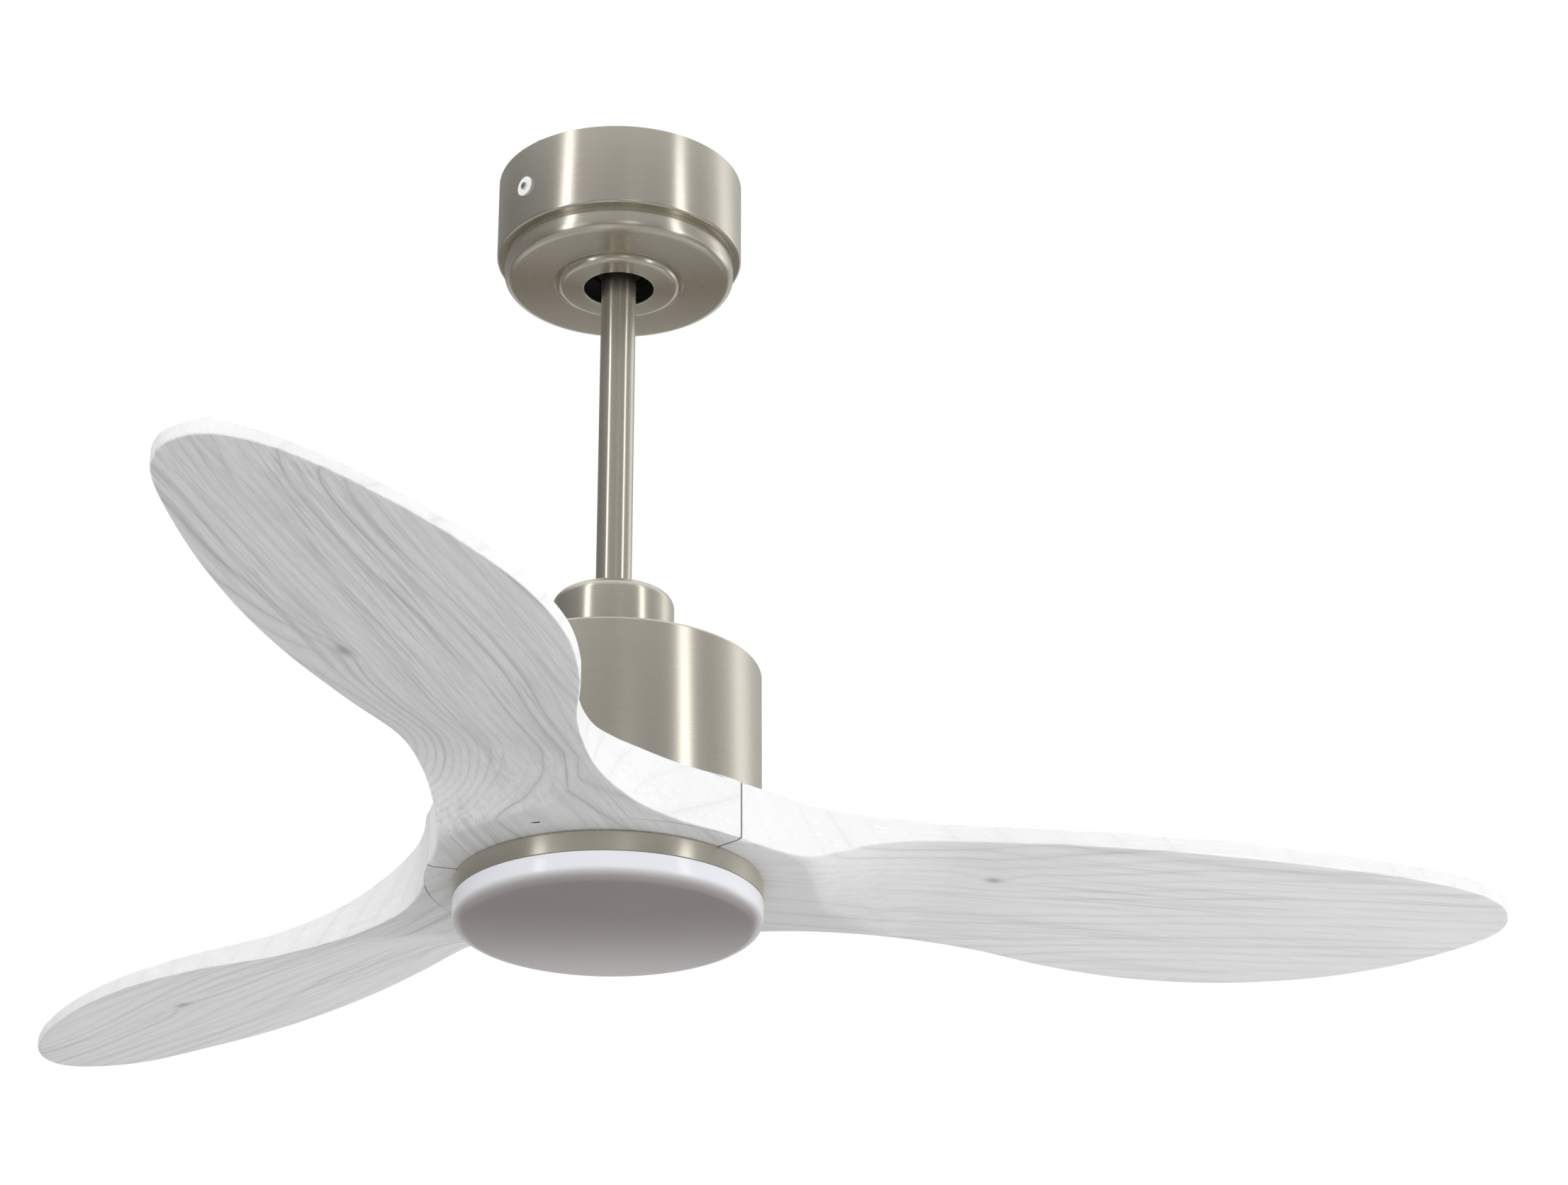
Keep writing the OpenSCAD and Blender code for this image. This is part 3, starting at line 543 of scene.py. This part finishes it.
def blade_sections():
    """Under and top points for every section, as arrays [section, chord, xyz] in millimetres. A section
    follows an arc about the shaft, from the trailing edge to the leading edge."""
    under, top = [], []
    for r, depth in hub_rows():
        trim = math.asin(SEAM_GAP / r)
        s = shares(r * (SEAM_TRAIL - SEAM_LEAD), SEAM_ROUND * 2)
        a = (SEAM_TRAIL - trim) + (SEAM_LEAD - SEAM_TRAIL + 2 * trim) * s
        ring = arc_points(r, a)
        under.append(np.c_[ring, np.full(len(s), depth)])
        top.append(np.c_[ring, np.full(len(s), HUB_T)])
    for u in np.append(np.linspace(0, TIP_ROW, TIP_ROW * PER_ROW + 1)[:-1], TIP_ROW - TIP_CLOSE):
        lead, trail = curve(OUTLINE, u), curve(OUTLINE, 2 * TIP_ROW - u)
        r_lead, r_trail = math.hypot(*lead[:2]), math.hypot(*trail[:2])
        a_lead, a_trail = math.atan2(lead[1], lead[0]), math.atan2(trail[1], trail[0])
        length = math.hypot((r_lead + r_trail) / 2 * (a_trail - a_lead), r_lead - r_trail)
        s = shares(length, EDGE_ROUND)
        r = r_trail + (r_lead - r_trail) * s
        a = a_trail + (a_lead - a_trail) * s
        flat = np.interp(u, *FLAT_SHARE)
        power = 0.85 + 0.20 * min(1.0, u / 5)
        rise = np.clip((s - flat) / max(1 - flat, 1e-6), 0, 1) ** power
        low = trail[2] + (lead[2] - trail[2]) * rise
        bulge = CROWN * min(1.0, max(0.0, u - 2) / 4) * 4 * s * (1 - s)
        high = trail[2] + trail[3] + (lead[2] + lead[3] - trail[2] - trail[3]) * s + bulge
        ring = arc_points(r, a)
        under.append(np.c_[ring, low])
        top.append(np.c_[ring, high])
    return np.array(under), np.array(top)


def edge_drop(points, line, radius):
    """How far a rounded edge falls back at each point, from its plan distance to the line."""
    flat = points[..., :2].reshape(-1, 2)
    a, b = line[:-1], line[1:]
    span = b - a
    away = np.full(len(flat), 1e9)
    for start, step in zip(a, span):
        t = np.clip(((flat - start) @ step) / (step @ step), 0, 1)
        away = np.minimum(away, np.linalg.norm(flat - start - t[:, None] * step, axis=1))
    inside = np.clip(radius - away, 0, radius)
    return (radius - np.sqrt(radius ** 2 - inside ** 2)).reshape(points.shape[:-1])


def blade_mesh(name):
    """One blade with its share of the hub, along x, with its edges and seams rounded."""
    under, top = blade_sections()
    rim = np.array([curve(OUTLINE, u)[:2] for u in np.linspace(0, 2 * TIP_ROW, 2 * TIP_ROW * RIM_STEPS + 1)])
    drop = edge_drop(under, rim, EDGE_ROUND)
    for end in (rim[0], rim[-1]):
        seam = np.array([end * HUB_HOLE_R / np.linalg.norm(end), end])
        drop = np.maximum(drop, edge_drop(under, seam, SEAM_ROUND))
    under[..., 2] += drop
    top[..., 2] -= drop
    rows, across = under.shape[:2]
    vertices = np.concatenate([under, top[:, ::-1]], 1).reshape(-1, 3) * MM
    loop = 2 * across
    faces = [(i * loop + j, i * loop + (j + 1) % loop, (i + 1) * loop + (j + 1) % loop, (i + 1) * loop + j)
             for i in range(rows - 1) for j in range(loop)]
    for start in (0, (rows - 1) * loop):
        faces += [(start + k, start + k + 1, start + loop - 2 - k, start + loop - 1 - k)
                  for k in range(across - 1)]
    return smoothed(new_piece(name, vertices.tolist(), faces), sharp=50)


def add_blades():
    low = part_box("blade_a")[0].z
    for i, (letter, (across, depth, wavy, knot, contrast, lit_tone)) in enumerate(GRAIN.items()):
        piece = blade_mesh(f"carved_blade_{letter}")
        piece.location.z = low
        azimuth = BLADE_AZ + i * math.tau / 3
        piece.data.transform(Matrix.Rotation(azimuth, 4, "Z"))
        seed = FIRST_SEED + SEED_STEP * i
        look = washed_wood(f"washed_wood_{letter}", azimuth, seed, across, depth, wavy, knot, contrast,
                           lit_tone)
        dress(piece, "rotor", "washed_wood", look, f"blade_{letter}")


# ---------- turned metal and the diffuser ----------

CANOPY_WALL = 1.2
HOUSING_WALL = 1.5
CUP_WALL = 1.4
RING_WALL = 1.4
TUBE_WALL = 1.8


def extent(node):
    """A turned node's radius, top and foot, in millimetres."""
    low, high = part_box(node)
    return high.x / MM, high.z / MM, low.z / MM


def add_canopy(nickel):
    wall = CANOPY_WALL
    r, top, edge = extent("canopy_shell")
    shell = lathe("canopy_shell_turned", [
        (r - wall, top, 0.3), (r, top, 0.3), (r, edge, 2.0), (80, edge, 0.3), (80, edge + wall, 0.3),
        (r - wall, edge + wall, 1.0)])
    # The shell's inside is painted black: painted shade
    shaded_inside = (r - wall + 0.15) * MM, (edge + wall - 0.1) * MM
    shaded_nickel = brushed_nickel("nickel_shaded_inside", 0.27, 0.36, shaded_inside=shaded_inside)
    dress(shell, "ceiling_mount", "brushed_nickel", shaded_nickel, "canopy_shell")
    r, _, floor = extent("canopy_cover")
    cover = lathe("canopy_cover_turned", [
        (r - 2.8, edge, 0), (r - 1.6, edge, 0), (r - 1.6, edge - 4.0, 1.4), (r, edge - 4.0, 0.35),
        (r, floor, 6.5), (47.6, floor, 0.7), (46.6, floor + 1.0, 0.5), (44.9, floor + 1.7, 0.1),
        (46.5, floor + 2.1, 0.2), (50.8, floor + wall, 0.2), (r - wall, floor + wall, 5.3),
        (r - wall, edge - 5.4, 0.3), (r - 2.8, edge - 5.4, 0.3)])
    dress(cover, "ceiling_mount", "brushed_nickel", nickel, "canopy_cover")
    face = extent("canopy_trim_ring")[2]
    boss = lathe("canopy_boss_turned", [
        (25.6, face, 0.9), (44.5, face, 4.2), (44.5, floor + 1.8, 0.2), (49.4, floor + 1.8, 0.2),
        (49.4, floor + 3.2, 0.2), (42.5, floor + 3.2, 0.3), (42.5, face + 5.5, 0.6), (40, face + 2.0, 0.6),
        (25.6, face + 2.0, 0.3)])
    dress(boss, "ceiling_mount", "brushed_nickel", nickel, "canopy_trim_ring")


def add_motor_skin(nickel):
    wall = HOUSING_WALL
    r, top, foot = extent("housing_shell")
    shell = lathe("housing_turned", [
        (10.3, top - wall, 0), (10.3, top, 0.2), (r, top, 2.2), (r, foot, 0.5), (r - wall, foot, 0.3),
        (r - wall, top - wall, 1.2)])
    dress(shell, "hanging", "brushed_nickel", nickel, "housing_shell")
    wall = CUP_WALL
    r, top, foot = extent("coupling_cover")
    cup = lathe("coupling_cover_turned", [
        (13.1, top - wall, 0.2), (13.1, top, 0.4), (r, top, 8.0), (r, foot, 0.4), (r - wall, foot, 0.2),
        (r - wall, top - wall, 6.6)])
    dress(cup, "cup", "brushed_nickel", nickel, "coupling_cover")


def add_light(nickel):
    r, top, foot = extent("light_ring")
    ring = lathe("light_ring_turned", [
        (58, top - 1.2, 0.2), (58, top, 0.3), (r, top, 1.5), (r, foot, 0.6), (r - RING_WALL, foot, 0.2),
        (r - RING_WALL, top - 1.2, 0.4)])
    hooks = [arc_block(r - 3.4, r - 1.35, foot, foot + 2.0, 24, i * 120) for i in range(3)]
    dress(joined(ring, hooks), "hanging", "brushed_nickel", nickel, "light_ring")
    lip, floor = extent("diffuser")[1:]
    rest = foot - 0.2
    # The opal's painted shade over the bowl spans these heights
    opal = opal_acrylic("opal_acrylic", (floor + 1.2) * MM, (floor + 9.5) * MM, r * MM)
    bowl = lathe("opal_bowl", [
        (r - 6.4, lip, 0.3), (r - 4.2, lip, 0.3), (r - 4.2, rest, 0), (r, rest, 0.9), (r, floor + 0.6, 9.0),
        (0, floor, 0), (0, floor + 2.2, 0), (r - 2.2, floor + 2.8, 6.8), (r - 2.2, rest - 2.2, 0.4),
        (r - 6.4, rest - 2.2, 0.4)])
    lugs = [arc_block(r - 4.25, r - 1.8, lip - 1.6, lip, 14, i * 120) for i in range(3)]
    dress(joined(bowl, lugs), "shade", "opal_acrylic", opal, "diffuser")


def arc_block(inner, outer, low, high, span, azimuth, steps=10):
    """A block bent about the axis, centred on an azimuth, in millimetres and degrees."""
    vertices = []
    for k in range(steps + 1):
        t = math.radians(azimuth - span / 2 + span * k / steps)
        for r, z in ((inner, low), (outer, low), (outer, high), (inner, high)):
            vertices.append((r * MM * math.cos(t), r * MM * math.sin(t), z * MM))
    faces = [(4 * k + j, 4 * k + (j + 1) % 4, 4 * k + 4 + (j + 1) % 4, 4 * k + 4 + j)
             for k in range(steps) for j in range(4)]
    faces += [(3, 2, 1, 0), tuple(4 * steps + j for j in range(4))]
    return new_piece("block", vertices, faces)


def joined(piece, others):
    """One object from several closed meshes."""
    work = bmesh.new()
    for part in [piece, *others]:
        work.from_mesh(part.data)
    work.to_mesh(piece.data)
    work.free()
    for part in others:
        bpy.data.objects.remove(part)
    return smoothed(piece)


def add_rod(nickel):
    r, top, foot = extent("downrod")
    rod = lathe("downrod_tube", [
        (r - TUBE_WALL, foot, 0.3), (r, foot, 0.3), (r, top, 0.3), (r - TUBE_WALL, top, 0.3)], ROD_SEGMENTS)
    dress(rod, "hanging", "brushed_nickel", nickel, "downrod")


# ---------- looks of the CAD nodes that stay ----------

# Light tone, dark tone, metallic, roughness and grain of each plated look, then what differs from the usual
PLATED = {
    "zinc_steel": ((0.60, 0.62, 0.64, 1), (0.47, 0.47, 0.46, 1), 1.0, 0.32, 220.0),
    "cast_alloy": (shade(0.52), shade(0.40, 0.01), 1.0, 0.42, 500.0, 0.3),
    "bearing_steel": (shade(0.74), shade(0.62), 1.0, 0.16, 300.0, 0.03),
    "dark_steel": (shade(0.025), shade(0.012), 0.3, 0.45, 400.0, 0.12, 1.0, 0.2),
    "magnet": (shade(0.16), shade(0.09, 0.03), 0.7, 0.45, 350.0),
    "black_rubber": (shade(0.016), shade(0.009), 0.0, 0.50, 700.0, 0.3, 1.0, 0.12),
    "white_nylon": ((0.83, 0.83, 0.82, 1), (0.74, 0.74, 0.73, 1), 0.0, 0.45, 500.0),
    "box_plastic": (shade(0.022), shade(0.013), 0.0, 0.50, 900.0, 0.4, 1.0, 0.2),
    "wire_insulation": ((0.50, 0.02, 0.015, 1), (0.38, 0.015, 0.012, 1), 0.0, 0.40, 500.0, 0.1, 0.05),
    "white_enamel": (shade(0.82), shade(0.72), 0.0, 0.35, 600.0, 0.05),
    "led_phosphor": ((0.85, 0.62, 0.10, 1), (0.75, 0.50, 0.06, 1), 0.0, 0.35, 900.0),
}


def dress_nodes():
    looks = {name: plated(name, *settings) for name, settings in PLATED.items()}
    for name, make in (("lamination_steel", laminated), ("copper_wire", wound), ("circuit_board", circuit)):
        looks[name] = make(name)
    slots = {s["node"]: s["material_slot"] for s in frame["record"]["subparts"]}
    for name, piece in frame["nodes"].items():
        if slots[name] in looks:
            piece.data.materials.clear()
            piece.data.materials.append(looks[slots[name]])


# ---------- stage, light and camera ----------

FLOOR_Z = -2.6
FLOOR_SIDE = 3.6

# Tones once round the horizon, as (share of a turn, tone)
WALLS = [(0.0, 0.34), (0.17, 0.22), (0.30, 0.25), (0.42, 0.42), (0.50, 0.34), (0.57, 0.38), (0.73, 0.42),
         (0.78, 0.66), (0.815, 1.35), (0.85, 1.0), (0.88, 0.65), (1.0, 0.38)]
LOW_GLOW = [(0.0, 0.90), (0.08, 0.38), (0.20, 0.54), (0.30, 1.0), (0.42, 1.0), (0.60, 0.92), (0.84, 1.0),
            (0.92, 1.0), (1.0, 0.90)]
LOW_MIRRORED = [(0.0, 0.62), (0.10, 0.20), (0.28, 0.14), (0.345, 0.18), (0.375, 0.62), (0.405, 0.50),
                (0.43, 0.20), (0.50, 0.32), (0.53, 0.80), (0.555, 0.34), (0.605, 0.16), (0.65, 0.60),
                (0.70, 0.42), (0.76, 0.30), (0.815, 1.0), (0.87, 0.30), (1.0, 0.62)]
GLOW_GAIN = 2.6
MIRRORED_GAIN = 1.7
# Shares of the height, from 0 straight down to 1 straight up
CEILING = [(0.76, 0.0), (0.92, 1.0)]
BELOW = [(0.36, 1.0), (0.50, 0.0)]
LOW_BAND = [(0.32, 0.0), (0.39, 1.0), (0.52, 1.0), (0.60, 0.0)]

# Azimuth, distance, height, width, tallness, radiance, height of the point it faces, mirrored by the metal
SOFTBOXES = {
    "strip_left": (-50, 2.6, 0.65, 0.38, 3.6, 2.6, 0.65, True),
    "strip_right": (56, 2.6, 0.35, 0.38, 3.0, 2.3, 0.35, True),
    "front_panel": (-4, 3.4, -1.4, 4.0, 1.2, 1.3, -0.5, False),
    "side_panel": (105, 3.2, -1.6, 3.0, 1.2, 2.4, -0.5, False),
}

SENSOR_WIDTH = 36
LENS = 83.07
CAMERA_PLACE = (0, -2.3280, -1.3990)
PITCH, YAW, ROLL = 0.4301, 0.0518, -0.0042


def add_floor():
    made, n = material("studio_floor")
    tone = n.mix(n.noise(n.place(), 1.5), shade(0.47), shade(0.51))
    n.surface(Base_Color=tone, Roughness=0.8)
    corners = [(x * FLOOR_SIDE, y * FLOOR_SIDE, FLOOR_Z) for x, y in ((-1, -1), (1, -1), (1, 1), (-1, 1))]
    floor = new_piece("studio_floor", corners, [(0, 1, 2, 3)])
    floor.data.materials.append(made)


def add_world():
    """A studio room, white to the camera, with dim walls, a bright ceiling and a warm dark floor. Its low
    band is bright to diffuse rays, to light the blades, and pale and dark stretches to glossy ones."""
    world = bpy.data.worlds.new("studio")
    world.use_nodes = True
    bpy.context.scene.world = world
    n = Nodes(world.node_tree)
    x, y, z = n.parts(n.add("ShaderNodeTexCoord").outputs["Generated"])
    turn = n.math("ARCTAN2", x, n.product(y, -1.0))
    share = n.math("MULTIPLY_ADD", turn, 1 / math.tau, 0.5)
    height = n.math("MULTIPLY_ADD", z, 0.5, 0.5)
    path = n.add("ShaderNodeLightPath").outputs
    tone = n.mix(n.ramp(height, CEILING), n.ramp(share, WALLS), shade(1.05))
    tone = n.mix(n.ramp(height, BELOW), tone, shade(0.18, 0.14))
    glow = n.mix(1.0, n.ramp(share, LOW_GLOW), shade(GLOW_GAIN), "MULTIPLY")
    mirrored = n.mix(1.0, n.ramp(share, LOW_MIRRORED), shade(MIRRORED_GAIN), "MULTIPLY")
    low = n.mix(path["Is Glossy Ray"], glow, mirrored)
    tone = n.mix(n.ramp(height, LOW_BAND), tone, low)
    tone = n.mix(path["Is Camera Ray"], tone, (1, 1, 1, 1))
    light = n.add("ShaderNodeBackground", Color=tone, Strength=1.0)
    n.add("ShaderNodeOutputWorld", Surface=light.outputs[0])


def add_softbox(name, azimuth, distance, height, width, tall, radiance, aim_z, mirrored):
    """A soft box on a circle about the fan. Azimuth 0 is on the camera's side and grows to the right."""
    lamp = bpy.data.lights.new(name, "AREA")
    lamp.shape = "RECTANGLE"
    lamp.size, lamp.size_y = width, tall
    lamp.energy = radiance * math.pi * width * tall
    light = bpy.data.objects.new(name, lamp)
    a = math.radians(azimuth)
    light.location = (distance * math.sin(a), -distance * math.cos(a), height)
    aim = Vector((0, 0, aim_z)) - light.location
    light.rotation_euler = aim.to_track_quat("-Z", "Y").to_euler()
    light.visible_camera = False
    light.visible_glossy = mirrored
    bpy.context.scene.collection.objects.link(light)


def add_lights():
    for name, settings in SOFTBOXES.items():
        add_softbox(name, *settings)


def add_camera():
    data = bpy.data.cameras.new("camera")
    data.sensor_width = SENSOR_WIDTH
    data.lens = LENS
    data.clip_end = 100
    camera = bpy.data.objects.new("camera", data)
    ahead = Vector((math.sin(YAW) * math.cos(PITCH), math.cos(YAW) * math.cos(PITCH), math.sin(PITCH)))
    level = Vector((math.cos(YAW), -math.sin(YAW), 0))
    above = level.cross(ahead)
    right = level * math.cos(ROLL) + above * math.sin(ROLL)
    up = above * math.cos(ROLL) - level * math.sin(ROLL)
    turn = Matrix((right, up, -ahead)).transposed()
    camera.matrix_world = Matrix.Translation(CAMERA_PLACE) @ turn.to_4x4()
    bpy.context.scene.collection.objects.link(camera)
    bpy.context.scene.camera = camera


add_camera()
add_floor()
add_world()
add_lights()
dress_nodes()
add_blades()
turned = brushed_nickel("brushed_nickel", 0.27, 0.36)
# The tube's nickel is a darker copy of the same nickel: painted shade
drawn_tube = brushed_nickel("drawn_nickel", 0.26, 0.3, 0.97, 0.90)
add_canopy(turned)
add_motor_skin(turned)
# The ring's nickel is a lighter copy of the same nickel: painted light
add_light(brushed_nickel("ring_nickel", 0.36, 0.3, 1.05, 0.98))
add_rod(drawn_tube)
bpy.context.scene.view_settings.view_transform = "Standard"
